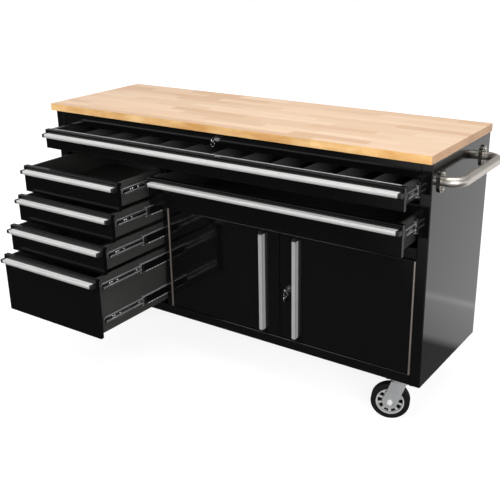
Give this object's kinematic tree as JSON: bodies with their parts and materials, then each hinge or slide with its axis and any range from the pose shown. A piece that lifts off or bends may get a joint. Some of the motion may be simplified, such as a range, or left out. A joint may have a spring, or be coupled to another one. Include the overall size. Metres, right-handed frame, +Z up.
{
  "type": "workbench with drawers",
  "caption": "Rolling steel workbench with a wooden top, sliding drawers, a two-door cupboard, pull bars, locks and a side handle.",
  "frame": {"origin": "on the floor, below the centre of the steel cabinet", "axes": "+X to the cabinet's right (the end with the handle), -Y to its front, +Z up"},
  "size_m": [1.61, 0.844, 0.909],
  "materials": {
    "rubberwood": "clear lacquer, satin, jointed staves",
    "black_enamel": "high-gloss black enamel",
    "pull_aluminium": "satin anodised, black plastic ends",
    "slide_steel": "bright zinc",
    "hinge_steel": "nickel plated",
    "lock_chrome": "polished",
    "stainless": "fine brushed, semi-bright",
    "castor_steel": "bright zinc",
    "hub": "moulded grey",
    "tyre": "dark rubber"
  },
  "bodies": {
    "cabinet": {"worktop": "rubberwood", "side_panel_left": "black_enamel", "side_panel_right": "black_enamel", "back_panel": "black_enamel", "base_pan": "black_enamel", "frame_rails": "black_enamel", "partition": "black_enamel", "slide_brackets": "black_enamel", "slide_channels": "slide_steel", "shelf": "black_enamel", "hinge_frame_leaves": "hinge_steel", "side_handle": "stainless", "castor_plates": "castor_steel", "rigid_forks": "castor_steel", "top_lock": "lock_chrome", "mullion": "black_enamel"},
    "tray_drawer": {"tray_drawer": "black_enamel", "tray_pull": "pull_aluminium", "tray_runners": "slide_steel", "tray_dividers": "black_enamel"},
    "tray_carriers": {"tray_carriers": "slide_steel"},
    "wide_drawer": {"wide_drawer": "black_enamel", "wide_pull": "pull_aluminium", "wide_runners": "slide_steel"},
    "wide_carriers": {"wide_carriers": "slide_steel"},
    "first_drawer": {"first_drawer": "black_enamel", "first_pull": "pull_aluminium", "first_runners": "slide_steel"},
    "first_carriers": {"first_carriers": "slide_steel"},
    "second_drawer": {"second_drawer": "black_enamel", "second_pull": "pull_aluminium", "second_runners": "slide_steel"},
    "second_carriers": {"second_carriers": "slide_steel"},
    "third_drawer": {"third_drawer": "black_enamel", "third_pull": "pull_aluminium", "third_runners": "slide_steel"},
    "third_carriers": {"third_carriers": "slide_steel"},
    "deep_drawer": {"deep_drawer": "black_enamel", "deep_pull": "pull_aluminium", "deep_runners": "slide_steel"},
    "deep_carriers": {"deep_carriers": "slide_steel"},
    "left_door": {"left_door": "black_enamel", "left_door_pull": "pull_aluminium", "left_door_leaf": "hinge_steel"},
    "right_door": {"right_door": "black_enamel", "right_door_pull": "pull_aluminium", "right_door_leaf": "hinge_steel", "door_lock": "lock_chrome"},
    "top_key": {"top_key": "lock_chrome"},
    "door_key": {"door_key": "lock_chrome"},
    "front_castor": {"front_fork": "castor_steel"},
    "front_wheel": {"front_tyre": "tyre", "front_hub": "hub"},
    "rear_castor": {"rear_fork": "castor_steel"},
    "rear_wheel": {"rear_tyre": "tyre", "rear_hub": "hub"},
    "left_front_wheel": {"left_front_tyre": "tyre", "left_front_hub": "hub"},
    "left_rear_wheel": {"left_rear_tyre": "tyre", "left_rear_hub": "hub"}
  },
  "joints": [
    {"name": "tray_slide", "type": "slide", "parent": "cabinet", "child": "tray_drawer", "axis": [0, -1, 0], "range_m": [-0.099, 0.291]},
    {"name": "tray_carrier_slide", "type": "slide", "parent": "cabinet", "child": "tray_carriers", "axis": [0, -1, 0], "range_m": [-0.0495, 0.1455]},
    {"name": "wide_slide", "type": "slide", "parent": "cabinet", "child": "wide_drawer", "axis": [0, -1, 0], "range_m": [-0.1, 0.29]},
    {"name": "wide_carrier_slide", "type": "slide", "parent": "cabinet", "child": "wide_carriers", "axis": [0, -1, 0], "range_m": [-0.05, 0.145]},
    {"name": "first_slide", "type": "slide", "parent": "cabinet", "child": "first_drawer", "axis": [0, -1, 0], "range_m": [-0.219, 0.171]},
    {"name": "first_carrier_slide", "type": "slide", "parent": "cabinet", "child": "first_carriers", "axis": [0, -1, 0], "range_m": [-0.1095, 0.0855]},
    {"name": "second_slide", "type": "slide", "parent": "cabinet", "child": "second_drawer", "axis": [0, -1, 0], "range_m": [-0.261, 0.129]},
    {"name": "second_carrier_slide", "type": "slide", "parent": "cabinet", "child": "second_carriers", "axis": [0, -1, 0], "range_m": [-0.1305, 0.0645]},
    {"name": "third_slide", "type": "slide", "parent": "cabinet", "child": "third_drawer", "axis": [0, -1, 0], "range_m": [-0.312, 0.078]},
    {"name": "third_carrier_slide", "type": "slide", "parent": "cabinet", "child": "third_carriers", "axis": [0, -1, 0], "range_m": [-0.156, 0.039]},
    {"name": "deep_slide", "type": "slide", "parent": "cabinet", "child": "deep_drawer", "axis": [0, -1, 0], "range_m": [-0.356, 0.034]},
    {"name": "deep_carrier_slide", "type": "slide", "parent": "cabinet", "child": "deep_carriers", "axis": [0, -1, 0], "range_m": [-0.178, 0.017]},
    {"name": "left_door_hinge", "type": "hinge", "parent": "cabinet", "child": "left_door", "pos_m": [-0.2295, -0.2355, 0.3865], "axis": [0, 0, -1], "range_deg": [0, 90]},
    {"name": "right_door_hinge", "type": "hinge", "parent": "cabinet", "child": "right_door", "pos_m": [0.7275, -0.2355, 0.3865], "axis": [0, 0, 1], "range_deg": [0, 165]},
    {"name": "top_key_turn", "type": "hinge", "parent": "cabinet", "child": "top_key", "pos_m": [0, -0.2325, 0.8585], "axis": [0, 1, 0], "range_deg": [0, 90]},
    {"name": "door_key_turn", "type": "hinge", "parent": "right_door", "child": "door_key", "pos_m": [0.284, -0.2325, 0.383], "axis": [0, 1, 0], "range_deg": [0, 90]},
    {"name": "front_castor_swivel", "type": "hinge", "parent": "cabinet", "child": "front_castor", "pos_m": [0.69, -0.1865, 0.156], "axis": [0, 0, 1], "continuous": true},
    {"name": "front_wheel_roll", "type": "hinge", "parent": "front_castor", "child": "front_wheel", "pos_m": [0.65429, -0.1995, 0.0635], "axis": [-0.342, 0.9397, 0], "continuous": true},
    {"name": "rear_castor_swivel", "type": "hinge", "parent": "cabinet", "child": "rear_castor", "pos_m": [0.66, 0.1865, 0.156], "axis": [0, 0, 1], "continuous": true},
    {"name": "rear_wheel_roll", "type": "hinge", "parent": "rear_castor", "child": "rear_wheel", "pos_m": [0.62709, 0.1675, 0.0635], "axis": [-0.5, 0.866, 0], "continuous": true},
    {"name": "left_front_wheel_roll", "type": "hinge", "parent": "cabinet", "child": "left_front_wheel", "pos_m": [-0.69, -0.1865, 0.0635], "axis": [0, 1, 0], "continuous": true},
    {"name": "left_rear_wheel_roll", "type": "hinge", "parent": "cabinet", "child": "left_rear_wheel", "pos_m": [-0.69, 0.1865, 0.0635], "axis": [0, 1, 0], "continuous": true}
  ],
  "couplings": [
    {"joint": "tray_carrier_slide", "follows": "tray_slide", "ratio": 0.5},
    {"joint": "wide_carrier_slide", "follows": "wide_slide", "ratio": 0.5},
    {"joint": "first_carrier_slide", "follows": "first_slide", "ratio": 0.5},
    {"joint": "second_carrier_slide", "follows": "second_slide", "ratio": 0.5},
    {"joint": "third_carrier_slide", "follows": "third_slide", "ratio": 0.5},
    {"joint": "deep_carrier_slide", "follows": "deep_slide", "ratio": 0.5}
  ]
}
